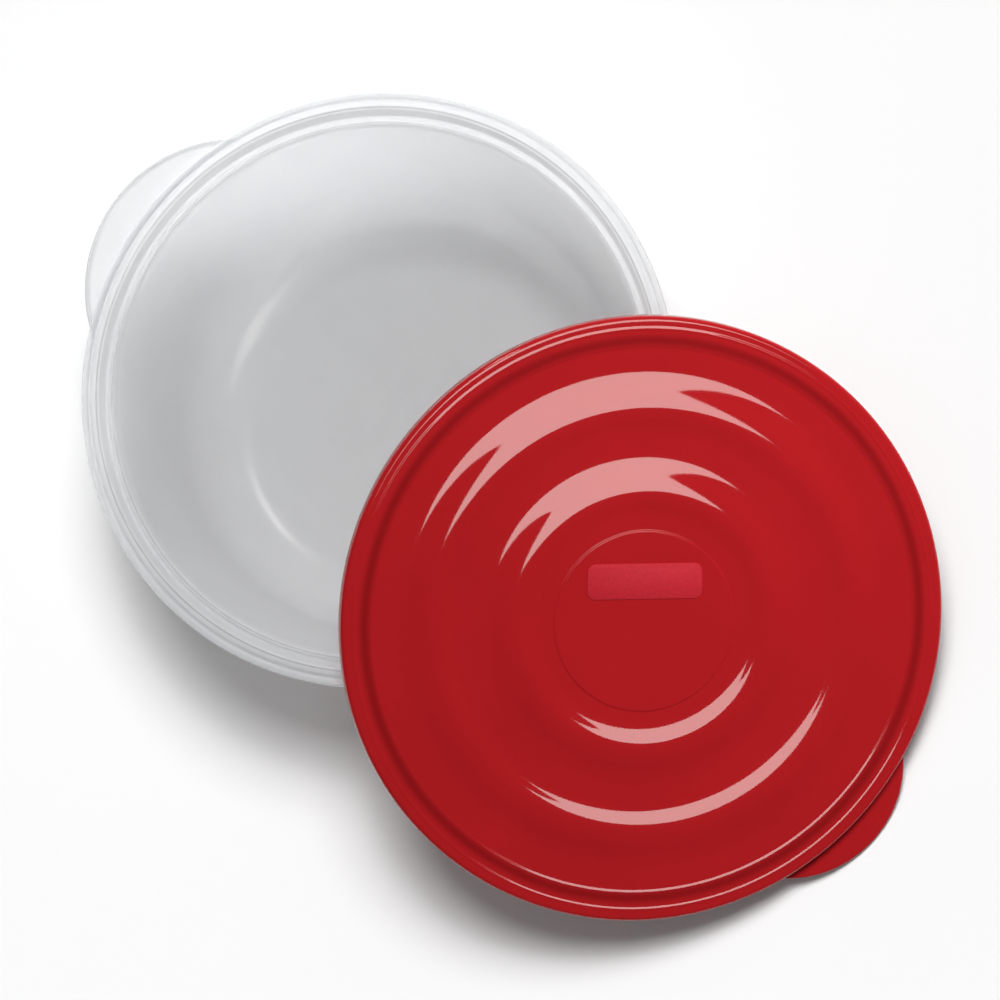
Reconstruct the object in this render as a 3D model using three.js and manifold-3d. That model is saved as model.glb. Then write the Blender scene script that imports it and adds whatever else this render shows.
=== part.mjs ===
// Round serving bowl with a press-on lid, in millimetres, +Z up.
// The origin is the middle of the bowl's flat underside. The lid lies off the bowl: its underside
// leans on the bowl's rim and the tip of its pull tab stands on the same surface as the bowl.
import * as THREE from "three";
import { mergeVertices } from "three/addons/utils/BufferGeometryUtils.js";
import Module from "manifold-3d";

const wasm = await Module();
wasm.setup();

// Driving dimensions.
const SEGMENTS = 60; // facets round each turned piece
const CURVE_STEPS = 3; // points along each curve of an outline
const GAP = 0.3; // clearance between neighbouring pieces

const BOWL_HEIGHT = 94; // underside to the top of the rim
const BOWL_RADIUS = 142.5; // outer edge of the rim
const BOWL_WALL = 1.3;
const FLOOR_RADIUS = 74; // flat middle of the bowl's floor
const WALL_TOP = new THREE.Vector2(126.9, 88); // inside of the wall, under the seat step
const WALL_FOOT = new THREE.Vector2(108.5, 28); // inside of the wall, where it turns into the floor
const BOWL_SKIRT_DEPTH = 7; // how far the outer edge hangs below the top of the rim

const LID_RADIUS = 144.4;
const LID_WALL = 1.0;
const LID_SKIRT_DEPTH = 4.8;
const BAND_HEIGHT = 1.45; // flat band over the bowl's rim, from the plane of that rim when the lid is shut
const PANEL_RADIUS = 129; // flat edge of the panel, at a fine step up to the sealing ring
const PANEL_HEIGHT = 1.5; // its upper face, from the same plane
const SEAL_DEPTH = 3.2; // how far the sealing lip under the ring reaches below that plane
const RIDGE_STEPS = 4; // points along each side of a ridge, half as many underneath
const RIDGE_RISE = { halfWidth: 7.2, height: 0.97 }; // inner side of a ridge
const RIDGE_FALL = { halfWidth: 11.2, height: 2 }; // its outer side
const RIDGES = [
  { rise: 55.1, fall: 69.6 }, // radius at the middle of each side
  { rise: 94.4, fall: 109.6 },
];
const DISC_RADIUS = 43; // raised disc in the middle of the lid
const DISC_STEP = 0.3;
const LABEL = { width: 55, depth: 17, corner: 4, height: 0.3, offset: 19 }; // blank label field

const TAB_THICKNESS = 1.4;
const TAB_ROOT = 1; // how far a tab reaches into the skirt that carries it
const BOWL_TAB = { radius: 70.2, centre: 89.2, angle: 144.4 }; // a round lug, cut off at the rim
const LID_TAB = { radius: 53.4, centre: 104.9, angle: -3.3 };

const LEAN = 27.6; // tilt of the lid, in degrees
const LEAN_DIRECTION = -41; // compass of its lower end, in degrees from +X

const rad = THREE.MathUtils.degToRad;

// Geometry to and from a manifold-3d solid.
function toSolid(geometry) {
  const plain = geometry.clone();
  plain.deleteAttribute("normal");
  plain.deleteAttribute("uv");
  const merged = mergeVertices(plain, 1e-4);
  return new wasm.Manifold(
    new wasm.Mesh({
      numProp: 3,
      vertProperties: new Float32Array(merged.attributes.position.array),
      triVerts: new Uint32Array(merged.index.array),
    }),
  );
}

function toGeometry(solid) {
  const { vertProperties, triVerts } = solid.getMesh();
  const geometry = new THREE.BufferGeometry();
  geometry.setAttribute("position", new THREE.BufferAttribute(vertProperties, 3));
  geometry.setIndex(new THREE.BufferAttribute(triVerts, 1));
  geometry.computeVertexNormals();
  return geometry;
}

// Solid of revolution about Z. The outline runs from the axis along the underside and back over the top.
function turned(points) {
  const geometry = new THREE.LatheGeometry(points, SEGMENTS);
  geometry.rotateX(Math.PI / 2);
  return toSolid(geometry);
}

// Crescent plate outside the rim: a round lug with its inner part cut away along the rim.
function tab({ radius, centre, angle }, rimRadius, bottom) {
  const inner = rimRadius - TAB_ROOT;
  const reach = (centre ** 2 + inner ** 2 - radius ** 2) / (2 * centre * inner);
  const rimAngle = Math.acos(reach);
  const lugAngle = Math.atan2(inner * Math.sin(rimAngle), inner * reach - centre);
  const outline = new THREE.Shape();
  outline.absarc(centre, 0, radius, -lugAngle, lugAngle, false);
  outline.absarc(0, 0, inner, rimAngle, -rimAngle, true);
  const plate = new THREE.ExtrudeGeometry(outline, {
    depth: TAB_THICKNESS,
    bevelEnabled: false,
    curveSegments: 20,
  });
  plate.translate(0, 0, bottom);
  plate.rotateZ(rad(angle));
  return toSolid(plate);
}

// Outline of the bowl: underside, outer wall, rim and inside, back to the axis.
function bowlOutline() {
  const top = BOWL_HEIGHT;
  const slope = WALL_TOP.clone().sub(WALL_FOOT).normalize();
  const outward = new THREE.Vector2(slope.y, -slope.x).multiplyScalar(BOWL_WALL);
  const outerFoot = WALL_FOOT.clone().add(outward);
  const outerTop = WALL_TOP.clone().add(outward);
  const floorHeight = BOWL_WALL;
  const innerCorner = WALL_FOOT.x - ((WALL_FOOT.y - floorHeight) * slope.x) / slope.y;
  const outerCorner = outerFoot.x - (outerFoot.y * slope.x) / slope.y;

  const path = new THREE.Path();
  path.moveTo(0, 0);
  path.lineTo(FLOOR_RADIUS, 0);
  path.quadraticCurveTo(outerCorner, 0, outerFoot.x, outerFoot.y);
  path.lineTo(outerTop.x, outerTop.y - 0.6);
  path.lineTo(132.5, top - 6.2);
  path.lineTo(135.1, top - 1.5);
  path.lineTo(136.4, top - 1.4);
  path.lineTo(138.2, top - 3);
  path.lineTo(140.6, top - 3);
  path.lineTo(140.6, top - BOWL_SKIRT_DEPTH);
  path.lineTo(141.8, top - BOWL_SKIRT_DEPTH);
  path.lineTo(141.8, top - 3.6);
  path.quadraticCurveTo(BOWL_RADIUS, top - 3.2, BOWL_RADIUS, top - 2.2);
  path.quadraticCurveTo(BOWL_RADIUS, top - 0.6, 140.7, top - 0.6);
  path.quadraticCurveTo(139.4, top - 0.7, 138.8, top - 1.7);
  path.quadraticCurveTo(137.6, top, 135.6, top);
  path.quadraticCurveTo(134.3, top, 133.6, top - 1.4);
  path.lineTo(131.9, top - 4.4);
  path.quadraticCurveTo(131.5, top - 5, 130.7, top - 4.9);
  path.quadraticCurveTo(129.2, top - 3.6, 127.8, top - 4.9);
  path.lineTo(WALL_TOP.x, WALL_TOP.y);
  path.lineTo(WALL_FOOT.x, WALL_FOOT.y);
  path.quadraticCurveTo(innerCorner, floorHeight, FLOOR_RADIUS, floorHeight);
  path.lineTo(0, floorHeight);
  return path.getPoints(CURVE_STEPS);
}

function makeBowl() {
  const bottom = BOWL_HEIGHT - BOWL_SKIRT_DEPTH;
  return turned(bowlOutline()).add(tab(BOWL_TAB, BOWL_RADIUS, bottom));
}

// Share of a smooth step that is still to come at a radius: 1 well inside it, 0 well outside.
// Its slope grows evenly from nothing at its ends to its steepest in the middle.
function stepAhead(radius, middle, halfWidth) {
  const x = THREE.MathUtils.clamp((middle - radius) / halfWidth, -1, 1);
  return (1 + x * (2 - Math.abs(x))) / 2;
}

// Upper face of the lid's panel: two round ridges, each falling further outside than it rises inside.
function panelHeight(radius) {
  const ridges = RIDGES.map(({ rise, fall }) => {
    const still = RIDGE_FALL.height * stepAhead(radius, fall, RIDGE_FALL.halfWidth);
    return still - RIDGE_RISE.height * stepAhead(radius, rise, RIDGE_RISE.halfWidth);
  });
  return PANEL_HEIGHT + ridges[0] + ridges[1];
}

// Points of the panel's upper face across the ridges, from the middle outwards.
function ridgePoints() {
  const points = [];
  for (const { rise, fall } of RIDGES) {
    const start = rise - RIDGE_RISE.halfWidth;
    const end = fall + RIDGE_FALL.halfWidth;
    for (let i = 0; i <= 2 * RIDGE_STEPS; i += 1) {
      const radius = start + ((end - start) * i) / (2 * RIDGE_STEPS);
      points.push(new THREE.Vector2(radius, panelHeight(radius)));
    }
  }
  return points;
}

// Rim of the lid from the panel outwards: sealing lip, ledge and skirt underneath, then back over the
// top: band, fine bead, and the sealing ring with its step down to the panel.
function lidRim() {
  const path = new THREE.Path();
  const under = BAND_HEIGHT - LID_WALL;
  path.moveTo(129.8, PANEL_HEIGHT - LID_WALL);
  path.lineTo(130.2, -SEAL_DEPTH);
  path.lineTo(131.2, -SEAL_DEPTH);
  path.lineTo(131.6, under);
  path.lineTo(143, under);
  path.lineTo(143.2, -3.4);
  path.lineTo(142.4, -4.1);
  path.lineTo(142.9, -LID_SKIRT_DEPTH);
  path.lineTo(LID_RADIUS, -LID_SKIRT_DEPTH);
  path.lineTo(LID_RADIUS, -0.9);
  path.quadraticCurveTo(LID_RADIUS, BAND_HEIGHT, 142, BAND_HEIGHT);
  path.lineTo(139.7, BAND_HEIGHT);
  path.lineTo(138.8, BAND_HEIGHT + 0.14);
  path.lineTo(138.5, BAND_HEIGHT + 0.14);
  path.lineTo(137.5, BAND_HEIGHT);
  path.lineTo(130.2, PANEL_HEIGHT + 0.14);
  path.lineTo(PANEL_RADIUS, PANEL_HEIGHT);
  return path.getPoints(CURVE_STEPS);
}

function lidOutline() {
  const ridges = ridgePoints();
  const middle = panelHeight(0);
  const coarse = ridges.filter((_, i) => (i % (2 * RIDGE_STEPS + 1)) % 2 === 0);
  const under = coarse.map((p) => new THREE.Vector2(p.x, p.y - LID_WALL));
  const disc = [
    new THREE.Vector2(DISC_RADIUS + DISC_STEP, middle),
    new THREE.Vector2(DISC_RADIUS, middle + DISC_STEP),
    new THREE.Vector2(0, middle + DISC_STEP),
  ];
  return [new THREE.Vector2(0, middle - LID_WALL), ...under, ...lidRim(), ...ridges.reverse(), ...disc];
}

// Blank label field, a rounded rectangle that stands a little proud of the disc.
function labelField() {
  const { width, depth, corner, height, offset } = LABEL;
  const x = width / 2 - corner;
  const y = depth / 2 - corner;
  const outline = new THREE.Shape();
  outline.absarc(x, -y, corner, -Math.PI / 2, 0, false);
  outline.absarc(x, y, corner, 0, Math.PI / 2, false);
  outline.absarc(-x, y, corner, Math.PI / 2, Math.PI, false);
  outline.absarc(-x, -y, corner, Math.PI, 1.5 * Math.PI, false);
  const root = LID_WALL / 2;
  const plate = new THREE.ExtrudeGeometry(outline, {
    depth: height + root,
    bevelEnabled: false,
    curveSegments: 6,
  });
  plate.translate(0, 0, panelHeight(0) + DISC_STEP - root);
  plate.rotateZ(-rad(LEAN_DIRECTION));
  const out = new THREE.Vector2(0, offset).rotateAround(new THREE.Vector2(), -rad(LEAN_DIRECTION));
  plate.translate(out.x, out.y, 0);
  return toSolid(plate);
}

function makeLid() {
  return turned(lidOutline())
    .add(tab(LID_TAB, LID_RADIUS - 0.2, -LID_SKIRT_DEPTH))
    .add(labelField());
}

// Where the lid's middle lies: the tab's tip is a gap above the table, the underside a gap off the rim.
function leaningPlace() {
  const sin = Math.sin(rad(LEAN));
  const cos = Math.cos(rad(LEAN));
  const tip = LID_TAB.centre + LID_TAB.radius;
  const height = tip * sin + LID_SKIRT_DEPTH * cos + GAP;
  const underside = panelHeight(0) - LID_WALL - GAP;
  const rimReach = Math.max(...bowlOutline().map((p) => p.x * sin + p.y * cos));
  const away = (rimReach - height * cos - underside) / sin;
  return new THREE.Vector3(away, 0, height);
}

function plastic(color, roughness, opacity = 1) {
  return new THREE.MeshStandardMaterial({
    color,
    roughness,
    metalness: 0,
    opacity,
    transparent: opacity < 1,
  });
}

const bowl = new THREE.Mesh(toGeometry(makeBowl()), plastic(0xe9edf0, 0.35, 0.7));
bowl.name = "bowl";

const lid = new THREE.Mesh(toGeometry(makeLid()), plastic(0xb01c23, 0.22));
lid.name = "lid";

const leaning = new THREE.Group();
leaning.position.copy(leaningPlace());
leaning.rotation.y = rad(LEAN);
leaning.add(lid);

const aside = new THREE.Group();
aside.rotation.z = rad(LEAN_DIRECTION);
aside.add(leaning);

const server = new THREE.Group();
server.name = "serving_bowl_with_lid";
server.add(bowl, aside);

export default server;
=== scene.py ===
"""A round translucent serving bowl with its red press-on lid leaning on the rim, in metres.

The bowl and the lid are turned mouldings with a tab each. Their fine surfaces are built here around the
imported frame, and each one stands in for the CAD node that it hides.
"""

import math

import bmesh
import bpy
from mathutils import Matrix, Vector


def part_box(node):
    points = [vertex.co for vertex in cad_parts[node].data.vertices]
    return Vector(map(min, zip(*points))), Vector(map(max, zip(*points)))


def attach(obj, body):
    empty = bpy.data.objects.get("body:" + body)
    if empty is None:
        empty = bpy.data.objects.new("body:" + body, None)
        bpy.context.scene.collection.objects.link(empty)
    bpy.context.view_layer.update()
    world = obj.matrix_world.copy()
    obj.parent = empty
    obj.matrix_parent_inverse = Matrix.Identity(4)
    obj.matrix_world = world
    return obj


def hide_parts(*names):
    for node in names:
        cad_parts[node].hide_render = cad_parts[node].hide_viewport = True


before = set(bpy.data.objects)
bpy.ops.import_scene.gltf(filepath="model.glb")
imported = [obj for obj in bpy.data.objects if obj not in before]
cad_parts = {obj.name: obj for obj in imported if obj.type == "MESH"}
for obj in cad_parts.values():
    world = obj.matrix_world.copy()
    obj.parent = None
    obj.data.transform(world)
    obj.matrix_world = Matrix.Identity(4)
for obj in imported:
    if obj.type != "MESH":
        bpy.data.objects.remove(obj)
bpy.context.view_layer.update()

MM = 0.001
BOWL_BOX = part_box("bowl")
BOWL_HEIGHT = BOWL_BOX[1].z
BOWL_RADIUS = BOWL_BOX[1].x

SEGMENTS = 288  # facets round a turned piece
FILLET_STEPS = 7  # facets along a rounded corner of an outline
FILLET_SHARE = 0.49  # most of an outline's side that one rounded corner takes up
WALL_STEPS = 12  # facets down the bowl's wall
FOOT_STEPS = 24  # and along the curve at its foot

# The bowl, as in the CAD.
BOWL_WALL = 1.3 * MM
FLOOR_RADIUS = 74 * MM
WALL_TOP = Vector((126.9, 88)) * MM
WALL_FOOT = Vector((108.5, 28)) * MM
BOWL_SKIRT_DEPTH = 7 * MM

# The lid, as in the CAD. Its own heights count from the plane of the bowl's rim when it is shut.
LID_RADIUS = 144.4 * MM
LID_WALL = 1.0 * MM
LID_SKIRT_DEPTH = 4.8 * MM
BAND_HEIGHT = 1.45 * MM
PANEL_HEIGHT = 1.5 * MM
SEAL_DEPTH = 3.2 * MM
RIDGE_RISE = (7.2 * MM, 0.97 * MM)  # half width and height of a ridge's inner side
RIDGE_FALL = (11.2 * MM, 2.0 * MM)  # and of its outer side
RIDGES = ((55.1 * MM, 69.6 * MM), (94.4 * MM, 109.6 * MM))  # radius at the middle of each side
RIDGE_SPACING = 0.6 * MM
DISC_RADIUS = 43 * MM
DISC_STEP = 0.3 * MM
LABEL_SIZE = (55 * MM, 17 * MM)
LABEL_CORNER = 4 * MM
LABEL_CORNER_STEPS = 9  # points round each of its corners
LABEL_RISE = 0.3 * MM
LABEL_EASE = 0.2 * MM  # width and drop of its eased edge
LABEL_OFFSET = 19 * MM  # from the lid's axis to its middle

# The tabs: a round lug of a radius, with its centre so far out, at a compass angle.
TAB_THICKNESS = 1.4 * MM
BOWL_TAB = (70.2 * MM, 89.2 * MM, math.radians(144.4))
LID_TAB = (53.4 * MM, 104.9 * MM, math.radians(-3.3))
BOWL_TAB_ROOT = BOWL_RADIUS - 1.2 * MM  # each tab starts inside the skirt
LID_TAB_ROOT = LID_RADIUS - 1.0 * MM
TAB_STEPS = 96  # slices across a tab
TAB_ROWS = 14  # facets between its root and its edge
TAB_SPREAD = 0.9999  # share of its width that is built, so that its two ends keep some thickness
TAB_EDGE_SHARE = 0.45  # most of its reach that its shaped edge takes up

# Its rounded edge in mm, as insets from the tip and rises over its underside or its upper face.
BOWL_TAB_FOOT = ((1.2, 0), (0.3, 0.1), (0, 0.5))
BOWL_TAB_BEAD = (
    (0, 0.1),
    (0.2, 0.45),
    (0.6, 0.65),
    (1.1, 0.7),
    (1.6, 0.6),
    (2.1, 0.35),
    (2.5, 0.1),
    (2.9, 0),
)
LID_TAB_FOOT = ((0.9, 0), (0.2, 0.15), (0, 0.5))
LID_TAB_TOP = ((0, -0.5), (0.2, -0.15), (0.9, 0))

PLASTIC_IOR = 1.49
MILKY = ((0.82, 0.84, 0.86), (0.85, 0.87, 0.885))  # the two whites that the bowl drifts between
WALL_DENSITY = 0.34  # share of light that one skin of the bowl's wall stops
RIM_DENSITY = 0.38  # and one of its thicker rim and tab
DENSITY_DRIFT = 0.02  # more or less of it in places
EDGE_BLEND = 0.4  # how soon a surface counts as turned away
BOWL_EDGE_DENSITY = 0.2  # how much more it stops where it turns away
BOWL_SHADOW_DENSITY = 0.3  # how much more of a lamp's straight light it stops, by scattering it
BOWL_EDGE_PAINTED_SHADE = 0.25  # how much darker it is where it turns away from the eye, a painted shade along its curved edges
WALL_GLOW = (0.85, 4 * MM)  # share and depth of the light that scatters inside the wall
RIM_GLOW = (0.25, 1 * MM)  # and inside the rim and the tab
RIM_PAINTED_SHADE_LINES = ((135.2 * MM, 0.4), (128.5 * MM, 0.35))  # radius and depth of the lines of painted shade round the rim, where it steps down
RIM_SHADE_LINE_WIDTH = 0.7 * MM  # to each side
TAB_EDGE_SHADE_WIDTH = 2.6 * MM  # the bowl's tab is thicker along its edge; width of the painted shade there
TAB_EDGE_PAINTED_SHADE = 0.3
LID_RED = (0.295, 0.0085, 0.0107)
LID_RED_DRIFT = 1.08  # how much brighter it is in places
ETCHED_RED = (0.335, 0.0125, 0.021)
ETCHED_RED_DRIFT = 1.25
SEAL_SHADE_RADIUS = 133 * MM  # middle of a ring of painted shade on the lid's red, over the sealing lip under the lid, standing in for the shading of the rim's relief
SEAL_SHADE_WIDTH = 4.2 * MM
SEAL_PAINTED_SHADE = 0.36

# Least and most roughness of each surface.
WALL_POLISH = (0.16, 0.22)
RIM_POLISH = (0.07, 0.11)
LID_POLISH = (0.03, 0.05)
LABEL_POLISH = (0.34, 0.46)

LEAN = math.radians(27.6)  # how far the lid tilts
LEAN_DIRECTION = math.radians(-41)  # compass angle of its low side
GAP = 0.3 * MM  # stands in for each place where the lid touches something
FLOOR_GAP = 0.2 * MM  # the floor lies this much below the bowl, so that the two don't share a plane


# ---------------------------------------------------------------- outlines


def rounded(corners):
    """Points of an outline, in metres, from its corners as (radius, height, fillet) in mm.

    A corner without a fillet stays sharp.
    """
    spots = [Vector(c[:2]) * MM for c in corners]
    points = []
    for i, (spot, corner) in enumerate(zip(spots, corners)):
        fillet = corner[2] * MM if len(corner) > 2 else 0
        if fillet == 0:
            points.append(spot)
            continue
        before = spots[i - 1] - spot
        after = spots[(i + 1) % len(spots)] - spot
        turn = before.angle(after)
        reach = min(fillet / math.tan(turn / 2), FILLET_SHARE * before.length, FILLET_SHARE * after.length)
        start = spot + before.normalized() * reach
        end = spot + after.normalized() * reach
        for k in range(FILLET_STEPS + 1):
            t = k / FILLET_STEPS
            points.append((1 - t) ** 2 * start + 2 * t * (1 - t) * spot + t**2 * end)
    return points


def curve(start, control, end):
    """Points along the quadratic curve at the foot of the wall, both ends included."""
    spread = [k / FOOT_STEPS for k in range(FOOT_STEPS + 1)]
    return [(1 - t) ** 2 * start + 2 * t * (1 - t) * control + t**2 * end for t in spread]


def bowl_outline():
    """Closed outline of the bowl: underside, outer wall, rim and inside, from the axis to the axis."""
    top = BOWL_HEIGHT / MM
    skirt = top - BOWL_SKIRT_DEPTH / MM
    slope = (WALL_TOP - WALL_FOOT).normalized()
    outward = Vector((slope.y, -slope.x)) * BOWL_WALL
    outer_foot = WALL_FOOT + outward
    outer_top = WALL_TOP + outward
    inner_corner = Vector((WALL_FOOT.x - (WALL_FOOT.y - BOWL_WALL) * slope.x / slope.y, BOWL_WALL))
    outer_corner = Vector((outer_foot.x - outer_foot.y * slope.x / slope.y, 0))
    rim = [
        (outer_top.x / MM, outer_top.y / MM - 0.6, 1.5),
        (132.4, top - 6.3, 1.0),
        (135.0, top - 1.6, 0.8),
        (136.5, top - 1.4, 0.8),
        (138.0, top - 3.0, 0.8),
        (140.6, top - 3.0, 1.0),
        (140.6, skirt, 0.3),
        (141.8, skirt, 0.3),
        (141.8, top - 3.5, 0.6),
        (142.5, top - 2.8, 0.5),
        (142.5, top - 0.6, 1.4),
        (140.0, top - 0.55, 0.9),
        (138.9, top - 1.75, 0.9),
        (137.5, top - 0.35, 1.2),
        (135.8, top + 0.15, 1.4),
        (133.9, top - 0.9, 1.4),
        (131.7, top - 4.9, 0.9),
        (130.3, top - 4.9, 0.8),
        (129.3, top - 4.1, 0.8),
        (128.1, top - 4.5, 0.9),
    ]
    underside = curve(Vector((FLOOR_RADIUS, 0)), outer_corner, outer_foot)
    inside = curve(WALL_FOOT, inner_corner, Vector((FLOOR_RADIUS, BOWL_WALL)))
    rim_points = rounded([tuple(outer_foot / MM)] + rim + [tuple(WALL_TOP / MM)])[1:]
    shares = [k / WALL_STEPS for k in range(1, WALL_STEPS)]
    wall = [WALL_TOP.lerp(WALL_FOOT, share) for share in shares]
    outer_wall = [outer_foot.lerp(outer_top, share) for share in shares]
    return [Vector((0, 0))] + underside + outer_wall + rim_points + wall + inside + [Vector((0, BOWL_WALL))]


def step_ahead(radius, middle, half_width):
    """Share of a smooth step still to come at a radius: 1 well inside it and 0 well outside."""
    x = max(-1, min(1, (middle - radius) / half_width))
    return (1 + x * (2 - abs(x))) / 2


def panel_height(radius):
    """Upper face of the lid's panel: two ridges, each falling further outside than it rises inside."""
    height = PANEL_HEIGHT
    for rise, fall in RIDGES:
        height += RIDGE_FALL[1] * step_ahead(radius, fall, RIDGE_FALL[0])
        height -= RIDGE_RISE[1] * step_ahead(radius, rise, RIDGE_RISE[0])
    return height


def ridge_points():
    """Points of the panel's upper face across the ridges, from the middle outwards."""
    start = RIDGES[0][0] - RIDGE_RISE[0]
    end = RIDGES[-1][1] + RIDGE_FALL[0]
    count = round((end - start) / RIDGE_SPACING)
    radii = [start + (end - start) * k / count for k in range(count + 1)]
    return [Vector((r, panel_height(r))) for r in radii]


def lid_outline():
    """Closed outline of the lid: underside, skirt, rim and panel, from the axis to the axis."""
    ridges = ridge_points()
    under = [Vector((p.x, p.y - LID_WALL)) for p in ridges]
    panel = PANEL_HEIGHT / MM
    seal = SEAL_DEPTH / MM
    depth = LID_SKIRT_DEPTH / MM
    band = BAND_HEIGHT / MM
    edge = LID_RADIUS / MM
    ledge = band - LID_WALL / MM
    rim = [
        (124.0, panel - LID_WALL / MM),
        (129.9, panel - LID_WALL / MM, 0.6),
        (130.2, -seal, 0.35),
        (131.2, -seal, 0.35),
        (131.5, ledge, 0.6),
        (143.0, ledge, 0.5),
        (143.2, -3.4, 0.5),
        (142.4, -4.1, 0.4),
        (142.9, -depth, 0.2),
        (edge, -depth, 0.25),
        (edge, band, 2.6),
        (139.75, band, 4.0),
        (138.8, band + 0.13, 4.0),
        (138.4, band + 0.13, 4.0),
        (137.45, band, 4.0),
        (130.4, panel + 0.17, 4.0),
        (129.2, panel, 4.0),
        (125.0, panel),
    ]
    middle = panel_height(0)
    low = middle / MM
    high = (middle + DISC_STEP) / MM
    disc_edge = DISC_RADIUS / MM
    disc = [
        (disc_edge + 1.9, low),
        (disc_edge + 0.5, low, 0.9),
        (disc_edge - 0.3, high, 0.9),
        (disc_edge - 1.5, high),
    ]
    foot = [Vector((0, middle - LID_WALL))]
    head = [Vector((0, middle + DISC_STEP))]
    return foot + under + rounded(rim) + ridges[::-1] + rounded(disc) + head


# ---------------------------------------------------------------- meshes


def new_object(name, bm):
    """Makes a smooth-shaded piece out of an edit mesh."""
    mesh = bpy.data.meshes.new(name)
    bmesh.ops.recalc_face_normals(bm, faces=bm.faces)
    bm.to_mesh(mesh)
    bm.free()
    mesh.polygons.foreach_set("use_smooth", [True] * len(mesh.polygons))
    piece = bpy.data.objects.new(name, mesh)
    bpy.context.collection.objects.link(piece)
    return piece


def turned(name, outline):
    """Turns an outline that starts and ends on the axis into one closed skin."""
    bm = bmesh.new()
    foot = bm.verts.new((0, 0, outline[0].y))
    head = bm.verts.new((0, 0, outline[-1].y))
    rings = []
    for k in range(SEGMENTS):
        angle = 2 * math.pi * k / SEGMENTS
        side = Vector((math.cos(angle), math.sin(angle)))
        rings.append([bm.verts.new((*(side * p.x), p.y)) for p in outline[1:-1]])
    for k in range(SEGMENTS):
        one = rings[k]
        two = rings[(k + 1) % SEGMENTS]
        bm.faces.new((foot, one[0], two[0]))
        bm.faces.new((head, two[-1], one[-1]))
        for i in range(len(one) - 1):
            bm.faces.new((one[i], one[i + 1], two[i + 1], two[i]))
    return new_object(name, bm)


def tab(name, lug, root, section):
    """Crescent plate outside the rim. The section gives (inset from the lug's edge, height) pairs."""
    radius, centre, compass = lug
    half = math.acos((centre**2 + root**2 - radius**2) / (2 * centre * root))
    shares = [k / TAB_ROWS for k in range(TAB_ROWS)]
    bm = bmesh.new()
    loops = []
    for k in range(TAB_STEPS + 1):
        angle = half * (2 * k / TAB_STEPS - 1) * TAB_SPREAD
        side = Vector((math.cos(angle), math.sin(angle)))
        reach = centre * side.x + math.sqrt(radius**2 - (centre * side.y) ** 2) - root
        edge = [(reach - min(inset, reach * TAB_EDGE_SHARE), height) for inset, height in section]
        under = [(edge[0][0] * share, edge[0][1]) for share in shares]
        upper = [(edge[-1][0] * share, edge[-1][1]) for share in reversed(shares)]
        spots = under + edge + upper
        loops.append([bm.verts.new((*(side * (root + out)), height)) for out, height in spots])
    for one, two in zip(loops, loops[1:]):
        for i in range(len(one)):
            j = (i + 1) % len(one)
            bm.faces.new((one[i], one[j], two[j], two[i]))
    bm.faces.new(loops[0])
    bm.faces.new(loops[-1][::-1])
    bmesh.ops.rotate(bm, verts=bm.verts, matrix=Matrix.Rotation(compass, 3, "Z"))
    return new_object(name, bm)


def tab_section(low, foot, top):
    """Section of a tab whose underside is at a height: its edge over each face, as (inset, height)."""
    section = [(inset * MM, low + rise * MM) for inset, rise in foot]
    return section + [(inset * MM, low + TAB_THICKNESS + rise * MM) for inset, rise in top]


def label_field():
    """A blank label field: a low plate with round corners and an eased edge, on the disc of the lid."""
    bm = bmesh.new()
    surface = panel_height(0) + DISC_STEP
    top = surface + LABEL_RISE
    ease = 0.3 * LABEL_EASE  # at the middle of the eased edge
    levels = (
        (0, surface - LID_WALL / 2),
        (0, top - LABEL_EASE),
        (ease, top - ease),
        (LABEL_EASE, top),
    )
    rings = []
    for inset, height in levels:
        ring = []
        for k in range(4 * LABEL_CORNER_STEPS):
            corner, step = divmod(k, LABEL_CORNER_STEPS)
            angle = math.pi / 2 * (corner + step / (LABEL_CORNER_STEPS - 1))
            diagonal = math.pi / 2 * (corner + 0.5)
            x = math.copysign(LABEL_SIZE[0] / 2 - LABEL_CORNER, math.cos(diagonal))
            y = math.copysign(LABEL_SIZE[1] / 2 - LABEL_CORNER, math.sin(diagonal))
            reach = LABEL_CORNER - inset
            ring.append(bm.verts.new((x + reach * math.cos(angle), y + reach * math.sin(angle), height)))
        rings.append(ring)
    for low, high in zip(rings, rings[1:]):
        for i, vert in enumerate(low):
            j = (i + 1) % len(low)
            bm.faces.new((vert, low[j], high[j], high[i]))
    bm.faces.new(rings[0][::-1])
    bm.faces.new(rings[-1])
    bmesh.ops.translate(bm, verts=bm.verts, vec=(0, LABEL_OFFSET, 0))
    bmesh.ops.rotate(bm, verts=bm.verts, matrix=Matrix.Rotation(-LEAN_DIRECTION, 3, "Z"))
    return new_object("lid_label_field", bm)


def lid_matrix():
    """Where the lid lies: its tab's tip a gap above the table and its underside a gap off the rim."""
    sin = math.sin(LEAN)
    cos = math.cos(LEAN)
    height = (LID_TAB[0] + LID_TAB[1]) * sin + LID_SKIRT_DEPTH * cos + GAP
    underside = panel_height(0) - LID_WALL - GAP
    rim_reach = max(p.x * sin + p.y * cos for p in bowl_outline())
    away = (rim_reach - height * cos - underside) / sin
    turn = Matrix.Rotation(LEAN_DIRECTION, 4, "Z")
    return turn @ Matrix.Translation((away, 0, height)) @ Matrix.Rotation(LEAN, 4, "Y")


# ---------------------------------------------------------------- materials


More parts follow.
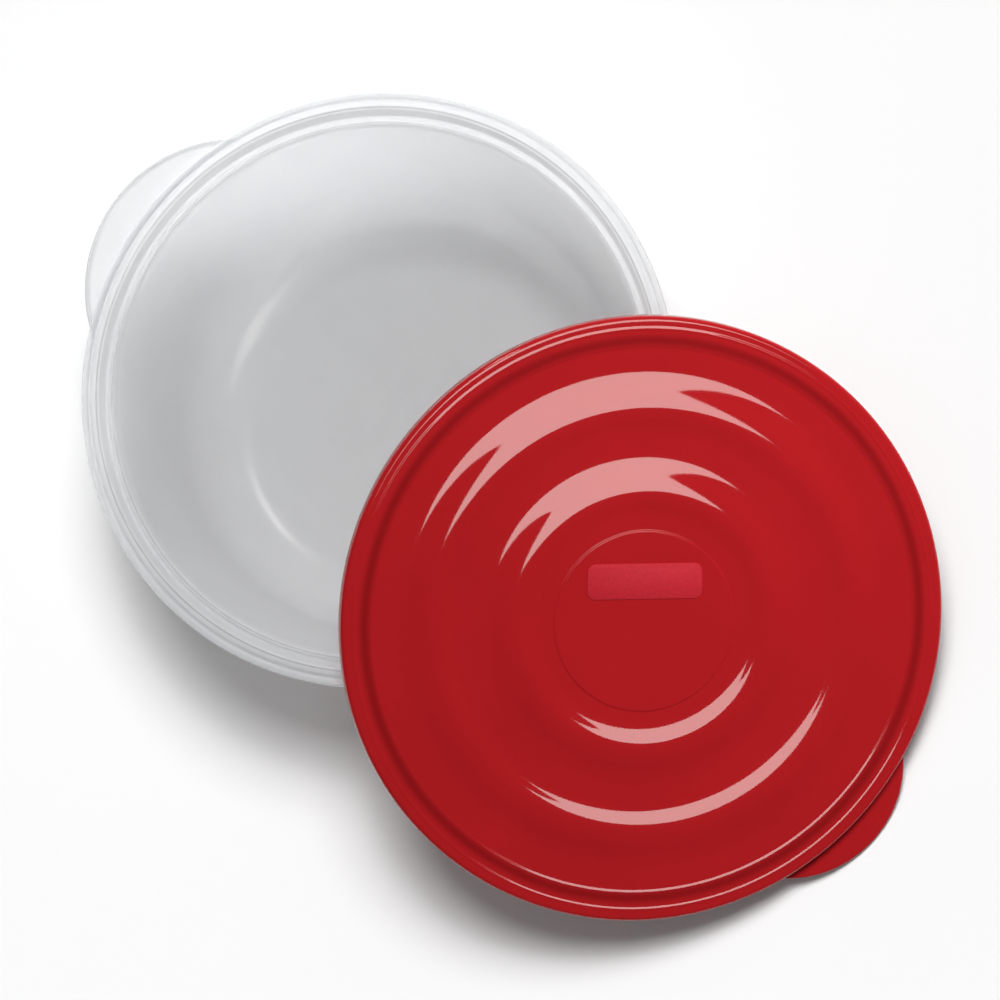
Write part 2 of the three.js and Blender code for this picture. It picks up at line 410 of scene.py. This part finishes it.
class Finish:
    """A node material of one plastic, built up by its own short methods.

    Its patterns lie in the frame of the row, or in the frame of a piece that has a place of its own.
    """

    def __init__(self, name, slot, place=None):
        self.slot = slot
        self.made = bpy.data.materials.new(name)
        self.made.use_nodes = True
        self.tree = self.made.node_tree
        self.shader = self.tree.nodes["Principled BSDF"]
        self.place = self.tree.nodes.new("ShaderNodeTexCoord").outputs["Object"]
        if place:
            back = self.tree.nodes.new("ShaderNodeMapping")
            back.vector_type = "TEXTURE"
            back.inputs["Location"].default_value = place.translation
            back.inputs["Rotation"].default_value = place.to_euler()
            self.link(self.place, back.inputs["Vector"])
            self.place = back.outputs["Vector"]
        self.relief = None

    def set(self, **values):
        """Sets inputs of the shader by name, with _ for a space."""
        for name, value in values.items():
            self.shader.inputs[name.replace("_", " ")].default_value = value

    def link(self, source, target):
        """Joins one node's output to another's input."""
        self.tree.links.new(source, target)

    def noise(self, scale, detail):
        """Cloudy values about 0.5 all over the piece. The scale counts features in a metre."""
        cloud = self.tree.nodes.new("ShaderNodeTexNoise")
        cloud.inputs["Scale"].default_value = scale
        cloud.inputs["Detail"].default_value = detail
        self.link(self.place, cloud.inputs["Vector"])
        return cloud.outputs["Fac"]

    def radius(self, centre=(0, 0)):
        """Distance from an upright axis, which is the piece's own one unless another centre is given."""
        flat = self.tree.nodes.new("ShaderNodeVectorMath")
        flat.operation = "MULTIPLY_ADD"
        flat.inputs[1].default_value = (1, 1, 0)
        flat.inputs[2].default_value = (-centre[0], -centre[1], 0)
        self.link(self.place, flat.inputs[0])
        length = self.tree.nodes.new("ShaderNodeVectorMath")
        length.operation = "LENGTH"
        self.link(flat.outputs[0], length.inputs[0])
        return length.outputs["Value"]

    def rings(self, scale):
        """Values that change with the radius only, like the polishing marks of a turned mould."""
        marks = self.tree.nodes.new("ShaderNodeTexNoise")
        marks.noise_dimensions = "1D"
        marks.inputs["Scale"].default_value = scale
        marks.inputs["Detail"].default_value = 3
        self.link(self.radius(), marks.inputs["W"])
        return marks.outputs["Fac"]

    def shade_ring(self, radius, half_width, depth, centre=(0, 0)):
        """Deepens the base colour over a soft ring: painted shade along a step, a bead or a lip."""
        off = self.tree.nodes.new("ShaderNodeMath")
        off.operation = "SUBTRACT"
        off.inputs[1].default_value = radius
        self.link(self.radius(centre), off.inputs[0])
        apart = self.tree.nodes.new("ShaderNodeMath")
        apart.operation = "ABSOLUTE"
        self.link(off.outputs["Value"], apart.inputs[0])
        near = self.tree.nodes.new("ShaderNodeMapRange")
        near.interpolation_type = "SMOOTHSTEP"
        near.inputs["From Max"].default_value = half_width
        near.inputs["To Min"].default_value = 1
        near.inputs["To Max"].default_value = 0
        self.link(apart.outputs["Value"], near.inputs["Value"])
        self.darken(near.outputs["Result"], depth)

    def polish(self, value, low, high):
        """Roughness that drifts between two values as a noise does."""
        self.link(self.span(value, low, high), self.shader.inputs["Roughness"])

    def span(self, value, low, high):
        """Stretches the middle half of a noise over a range of numbers."""
        spread = self.tree.nodes.new("ShaderNodeMapRange")
        spread.inputs["From Min"].default_value = 0.25
        spread.inputs["From Max"].default_value = 0.75
        spread.inputs["To Min"].default_value = low
        spread.inputs["To Max"].default_value = high
        self.link(value, spread.inputs["Value"])
        return spread.outputs["Result"]

    def tint(self, value, low, high):
        """Base colour that drifts between two colours as a noise does."""
        mix = self.tree.nodes.new("ShaderNodeMix")
        mix.data_type = "RGBA"
        mix.inputs["A"].default_value = (*low, 1)
        mix.inputs["B"].default_value = (*high, 1)
        self.link(self.span(value, 0, 1), mix.inputs["Factor"])
        self.link(mix.outputs["Result"], self.shader.inputs["Base Color"])

    def facing(self, blend):
        """How far the surface turns away from the eye: 0 face on, 1 edge on."""
        layer = self.tree.nodes.new("ShaderNodeLayerWeight")
        layer.inputs["Blend"].default_value = blend
        return layer.outputs["Facing"]

    def darken(self, value, depth):
        """Scales the base colour down by up to a share as a value goes from 0 to 1."""
        keep = self.tree.nodes.new("ShaderNodeMapRange")
        keep.inputs["To Min"].default_value = 1
        keep.inputs["To Max"].default_value = 1 - depth
        self.link(value, keep.inputs["Value"])
        scaled = self.tree.nodes.new("ShaderNodeVectorMath")
        scaled.operation = "SCALE"
        self.link(self.shader.inputs["Base Color"].links[0].from_socket, scaled.inputs[0])
        self.link(keep.outputs["Result"], scaled.inputs["Scale"])
        self.link(scaled.outputs[0], self.shader.inputs["Base Color"])

    def raised(self, value, share, other):
        """A value plus a share of another."""
        total = self.tree.nodes.new("ShaderNodeMath")
        total.operation = "MULTIPLY_ADD"
        total.inputs[1].default_value = share
        self.link(other, total.inputs[0])
        self.link(value, total.inputs[2])
        return total.outputs["Value"]

    def emboss(self, value, depth):
        """Adds a relief of a depth in metres to the surface."""
        bump = self.tree.nodes.new("ShaderNodeBump")
        bump.inputs["Distance"].default_value = depth
        self.link(value, bump.inputs["Height"])
        if self.relief:
            self.link(self.relief, bump.inputs["Normal"])
        self.relief = bump.outputs["Normal"]
        self.link(self.relief, self.shader.inputs["Normal"])


def bowl_finish(name, density, glow, polish):
    """Natural milky polypropylene: it lets light through, and looks denser where it turns away, where
    painted shade also darkens it.
    """
    finish = Finish(name, "bowl_plastic")
    glow_share, glow_depth = glow
    finish.set(IOR=PLASTIC_IOR, Subsurface_Weight=glow_share)
    finish.set(Subsurface_Scale=glow_depth, Subsurface_Radius=(1, 1, 1))
    finish.tint(finish.noise(22, 3), *MILKY)
    facing = finish.facing(EDGE_BLEND)
    # painted shade: the base colour darkens where the surface turns away from the eye
    finish.darken(facing, BOWL_EDGE_PAINTED_SHADE)
    finish.polish(finish.noise(60, 3), *polish)
    lamp_rays = finish.tree.nodes.new("ShaderNodeLightPath").outputs["Is Shadow Ray"]
    share = finish.span(finish.noise(14, 2), density - DENSITY_DRIFT, density + DENSITY_DRIFT)
    share = finish.raised(share, BOWL_EDGE_DENSITY, facing)
    share = finish.raised(share, BOWL_SHADOW_DENSITY, lamp_rays)
    finish.link(share, finish.shader.inputs["Alpha"])
    finish.emboss(finish.rings(300), 0.002 * MM)
    finish.emboss(finish.noise(40, 1), 0.006 * MM)
    return finish


def bowl_wall_finish():
    """The thin wall, which glows where light falls on its other side."""
    return bowl_finish("milky_polypropylene_wall", WALL_DENSITY, WALL_GLOW, WALL_POLISH)


def bowl_rim_finish():
    """The thicker and glossier rim, with a line of painted shade at the foot of each bead."""
    finish = bowl_finish("milky_polypropylene_rim", RIM_DENSITY, RIM_GLOW, RIM_POLISH)
    # painted shade: a darker line round the rim at each step
    for radius, tint in RIM_PAINTED_SHADE_LINES:
        finish.shade_ring(radius, RIM_SHADE_LINE_WIDTH, tint)
    return finish


def bowl_tab_finish():
    """The tab, as dense as the rim and as matt as the wall, with painted shade along its thick edge."""
    finish = bowl_finish("milky_polypropylene_tab", RIM_DENSITY, RIM_GLOW, WALL_POLISH)
    radius, reach, compass = BOWL_TAB
    centre = (reach * math.cos(compass), reach * math.sin(compass))
    # painted shade along the tab's beaded edge
    finish.shade_ring(radius - TAB_EDGE_SHADE_WIDTH / 3, TAB_EDGE_SHADE_WIDTH, TAB_EDGE_PAINTED_SHADE, centre)
    return finish


def lid_finish(place):
    """Opaque red polypropylene from a polished mould, with its faint round polishing marks."""
    finish = Finish("red_polypropylene", "lid_plastic", place)
    finish.set(IOR=PLASTIC_IOR)
    finish.tint(finish.noise(16, 2), LID_RED, tuple(LID_RED_DRIFT * c for c in LID_RED))
    # painted shade: a darker ring of red round the lid's rim
    finish.shade_ring(SEAL_SHADE_RADIUS, SEAL_SHADE_WIDTH, SEAL_PAINTED_SHADE)
    finish.polish(finish.noise(130, 3), *LID_POLISH)
    finish.emboss(finish.rings(420), 0.0015 * MM)
    finish.emboss(finish.noise(70, 1), 0.004 * MM)
    return finish


def label_finish(place):
    """The same red plastic where the mould is etched: paler and matt, with fine grain."""
    finish = Finish("etched_red_polypropylene", "lid_plastic", place)
    finish.set(IOR=PLASTIC_IOR, Specular_IOR_Level=0.1)
    finish.tint(finish.noise(900, 3), ETCHED_RED, tuple(ETCHED_RED_DRIFT * c for c in ETCHED_RED))
    finish.polish(finish.noise(700, 2), *LABEL_POLISH)
    finish.emboss(finish.noise(2600, 2), 0.06 * MM)
    return finish


# ---------------------------------------------------------------- pieces


def settle(piece, body, node, finish, place=None):
    """Finishes a piece, moves its mesh to its place, hands it to its body, and hides the CAD node that it
    stands in for.
    """
    piece.data.materials.append(finish.made)
    if place:
        piece.data.transform(place)
    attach(piece, body)
    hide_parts(node)
    return piece


def make_bowl():
    """The bowl's turned shell, in wall and rim finish, and its tab."""
    shell = settle(turned("bowl_shell", bowl_outline()), "bowl", "bowl", bowl_wall_finish())
    shell.data.materials.append(bowl_rim_finish().made)
    for face in shell.data.polygons:
        face.material_index = int(face.center.z > WALL_TOP.y)
    section = tab_section(BOWL_HEIGHT - BOWL_SKIRT_DEPTH, BOWL_TAB_FOOT, BOWL_TAB_BEAD)
    lug = tab("bowl_tab", BOWL_TAB, BOWL_TAB_ROOT, section)
    return [shell, settle(lug, "bowl", "bowl", bowl_tab_finish())]


def make_lid():
    """The lid's turned shell, its tab and its label field, laid where the lid leans."""
    place = lid_matrix()
    finish = lid_finish(place)
    section = tab_section(-LID_SKIRT_DEPTH, LID_TAB_FOOT, LID_TAB_TOP)
    shell = settle(turned("lid_shell", lid_outline()), "lid", "lid", finish, place)
    lug = settle(tab("lid_tab", LID_TAB, LID_TAB_ROOT, section), "lid", "lid", finish, place)
    label = settle(label_field(), "lid", "lid", label_finish(place), place)
    return [shell, lug, label]


# ---------------------------------------------------------------- camera

CAMERA_TILT = math.radians(13)
CAMERA_DISTANCE = 5.0
PICTURE_WIDTH = 0.4719  # how much the view takes in at the height of the bowl's rim
SENSOR_WIDTH = 36  # mm
AIM = (0.0583, -0.0526)  # middle of the view, right and up from the middle of the bowl's rim


def picture_axes():
    """Right, up and back of a view from above that leans towards the side where the lid lies."""
    away = Vector((math.cos(LEAN_DIRECTION), math.sin(LEAN_DIRECTION), 0))
    across = Vector((-away.y, away.x, 0))
    back = away * math.sin(CAMERA_TILT) + Vector((0, 0, math.cos(CAMERA_TILT)))
    down_slope = across.cross(back)
    right = down_slope * math.cos(LEAN_DIRECTION) - across * math.sin(LEAN_DIRECTION)
    up = down_slope * math.sin(LEAN_DIRECTION) + across * math.cos(LEAN_DIRECTION)
    return right, up, back


def make_camera():
    """A far camera with a narrow view, so that round things stay round."""
    right, up, back = picture_axes()
    target = Vector((0, 0, BOWL_HEIGHT)) + right * AIM[0] + up * AIM[1]
    data = bpy.data.cameras.new("camera")
    data.sensor_width = SENSOR_WIDTH
    data.lens = SENSOR_WIDTH * CAMERA_DISTANCE / PICTURE_WIDTH
    data.clip_end = 20 * CAMERA_DISTANCE
    camera = bpy.data.objects.new("camera", data)
    bpy.context.collection.objects.link(camera)
    turn = Matrix((right, up, back)).transposed().to_4x4()
    camera.matrix_world = Matrix.Translation(target + back * CAMERA_DISTANCE) @ turn
    bpy.context.scene.camera = camera


# ---------------------------------------------------------------- light and stage

KEY_COMPASS = math.radians(75)
KEY_SLANT = math.radians(20)  # off the vertical
KEY_WIDTH = math.radians(28)
KEY_POWER = 2.64
GLINT_WIDTH = math.radians(7)  # the bright middle of the key light, which is the part that glosses mirror
GLINT_POWER = 0.33
FILL_COMPASS = math.radians(110)
FILL_SLANT = math.radians(15)
FILL_WIDTH = math.radians(90)
FILL_POWER = 0.25
RIDGE_LIGHT_DISTANCE = 8.0
RIDGE_LIGHT_RADIANCE = 7.5
RIDGE_LIGHT_COLOUR = (1, 0.96, 0.93)
RIDGE_LIGHT_COMPASS = math.radians(105)  # round the lid, where the ridges' bright arcs are middled
RIDGE_LIGHT_SLOPES = (0.278, 1.3)  # least and most slope that mirrors it, as shares of the steepest slope
RIDGE_LIGHT_HALF_WIDTH = 0.43  # to each side of that compass, as a share of the same slope
BOWL_LIGHT_COMPASS = math.radians(112)
BOWL_LIGHT_REACH = 0.5
BOWL_LIGHT_HEIGHT = 0.05
BOWL_LIGHT_SIZE = (0.5, 0.08)
BOWL_LIGHT_POWER = 3.2
LID_LIGHT_COMPASS = math.radians(55)
LID_LIGHT_REACH = 0.55
LID_LIGHT_HEIGHT = 0.4
LID_LIGHT_SIZE = 0.3
LID_LIGHT_POWER = 3.0

FLOOR_SIZE = 15  # half its width
FLOOR_GREY = 0.88
HORIZON_GLOW = 0.92  # strength of the world's light near the horizon
OVERHEAD_GLOW = 0.07
HORIZON_END = math.radians(8)  # how high the one starts to fade
OVERHEAD_START = math.radians(26)  # and where the other is reached


def new_light(name, kind, power):
    """Adds a lamp of Blender's own kind to the scene."""
    data = bpy.data.lights.new(name, kind)
    data.energy = power
    light = bpy.data.objects.new(name, data)
    bpy.context.collection.objects.link(light)
    return light


def light_only(light, pieces):
    """Makes a lamp light some pieces and nothing else, and hides it from mirroring surfaces."""
    light.visible_glossy = False
    light.visible_camera = False
    lit = bpy.data.collections.new(light.name + "_only")
    for piece in pieces:
        lit.objects.link(piece)
    light.light_linking.receiver_collection = lit


def sky_light(name, compass, slant, width, power):
    """A far round softbox that lights the whole floor evenly. The width is an angle across the sky."""
    light = new_light(name, "SUN", power)
    light.data.angle = width
    flat = math.sin(slant)
    towards = Vector((flat * math.cos(compass), flat * math.sin(compass), math.cos(slant)))
    light.rotation_euler = towards.to_track_quat("Z", "Y").to_euler()
    return light


def ridge_light():
    """A softbox placed so that the sides of the lid's ridges mirror it as broad arcs.

    A slope turns what it mirrors by twice its own angle, so slopes count twice here.
    """
    place = lid_matrix()
    turn = place.to_3x3()
    right, up, back = (turn.inverted() @ axis for axis in picture_axes())
    uphill = right * math.cos(RIDGE_LIGHT_COMPASS) + up * math.sin(RIDGE_LIGHT_COMPASS)
    along = Vector((uphill.x, uphill.y, 0)).normalized()
    across = Vector((0, 0, 1)).cross(along)
    steepest = RIDGE_FALL[1] / RIDGE_FALL[0]
    low, high = (share * steepest for share in RIDGE_LIGHT_SLOPES)
    middle = Vector((-back.x, -back.y, 0)) + along * (low + high)
    towards = Vector((middle.x, middle.y, math.sqrt(1 - middle.length_squared)))
    side = (across - towards * across.dot(towards)).normalized()
    rise = towards.cross(side)
    width = 2 * (2 * RIDGE_LIGHT_HALF_WIDTH) * steepest * RIDGE_LIGHT_DISTANCE
    height = 2 * (high - low) * RIDGE_LIGHT_DISTANCE
    light = new_light("ridge_light", "AREA", RIDGE_LIGHT_RADIANCE * math.pi * width * height)
    light.data.color = RIDGE_LIGHT_COLOUR
    light.data.shape = "RECTANGLE"
    light.data.size = width
    light.data.size_y = height
    spot = place @ (towards * RIDGE_LIGHT_DISTANCE)
    axes = turn @ Matrix((side, rise, towards)).transposed()
    light.matrix_world = Matrix.Translation(spot) @ axes.to_4x4()
    light.visible_diffuse = False


def lid_light(pieces):
    """A small softbox up and right of the lid that lights only the lid, so its red fades downwards."""
    place = lid_matrix()
    right, up = picture_axes()[:2]
    aside = right * math.cos(LID_LIGHT_COMPASS) + up * math.sin(LID_LIGHT_COMPASS)
    normal = place.to_3x3() @ Vector((0, 0, 1))
    spot = place.translation + aside * LID_LIGHT_REACH + normal * LID_LIGHT_HEIGHT
    light = new_light("lid_light", "AREA", LID_LIGHT_POWER)
    light.data.shape = "DISK"
    light.data.size = LID_LIGHT_SIZE
    light.location = spot
    light.rotation_euler = (spot - place.translation).to_track_quat("Z", "Y").to_euler()
    light_only(light, pieces)


def bowl_light(pieces):
    """A low strip beyond the bowl that lights only the bowl, so that its far wall glows."""
    aside = Vector((math.cos(BOWL_LIGHT_COMPASS), math.sin(BOWL_LIGHT_COMPASS), 0))
    light = new_light("bowl_light", "AREA", BOWL_LIGHT_POWER)
    light.data.shape = "RECTANGLE"
    light.data.size, light.data.size_y = BOWL_LIGHT_SIZE
    light.location = aside * BOWL_LIGHT_REACH + Vector((0, 0, BOWL_LIGHT_HEIGHT))
    light.rotation_euler = aside.to_track_quat("Z", "Y").to_euler()
    light_only(light, pieces)


def make_lights(bowl_pieces, lid_pieces):
    """A soft key light with a brighter middle, a wide fill, and the softboxes of each piece."""
    key = sky_light("key", KEY_COMPASS, KEY_SLANT, KEY_WIDTH, KEY_POWER)
    key.visible_glossy = False
    sky_light("glint", KEY_COMPASS, KEY_SLANT, GLINT_WIDTH, GLINT_POWER)
    fill = sky_light("fill", FILL_COMPASS, FILL_SLANT, FILL_WIDTH, FILL_POWER)
    fill.visible_glossy = False
    ridge_light()
    bowl_light(bowl_pieces)
    lid_light(lid_pieces)


def make_stage():
    """A plain pale floor, out to the edge of every view."""
    bm = bmesh.new()
    bmesh.ops.create_grid(bm, x_segments=1, y_segments=1, size=FLOOR_SIZE)
    floor = new_object("floor", bm)
    floor.location.z = -FLOOR_GAP
    made = bpy.data.materials.new("pale_floor")
    made.use_nodes = True
    shader = made.node_tree.nodes["Principled BSDF"]
    shader.inputs["Base Color"].default_value = (FLOOR_GREY, FLOOR_GREY, FLOOR_GREY, 1)
    shader.inputs["Roughness"].default_value = 0.8
    shader.inputs["Specular IOR Level"].default_value = 0.1
    floor.data.materials.append(made)


def make_world():
    """Light that is strong from the horizon and dim from overhead, and that nothing mirrors."""
    world = bpy.data.worlds.new("studio")
    world.use_nodes = True
    nodes = world.node_tree.nodes
    links = world.node_tree.links
    place = nodes.new("ShaderNodeTexCoord")
    split = nodes.new("ShaderNodeSeparateXYZ")
    links.new(place.outputs["Generated"], split.inputs["Vector"])
    fade = nodes.new("ShaderNodeMapRange")
    fade.interpolation_type = "SMOOTHSTEP"
    fade.inputs["From Min"].default_value = math.sin(HORIZON_END)
    fade.inputs["From Max"].default_value = math.sin(OVERHEAD_START)
    fade.inputs["To Min"].default_value = HORIZON_GLOW
    fade.inputs["To Max"].default_value = OVERHEAD_GLOW
    links.new(split.outputs["Z"], fade.inputs["Value"])
    links.new(fade.outputs["Result"], nodes["Background"].inputs["Strength"])
    nodes["Background"].inputs["Color"].default_value = (1, 1, 1, 1)
    world.cycles_visibility.glossy = False
    bpy.context.scene.world = world
    bpy.context.scene.view_settings.view_transform = "Standard"


make_camera()
bowl_pieces = make_bowl()
lid_pieces = make_lid()
make_stage()
make_world()
make_lights(bowl_pieces, lid_pieces)
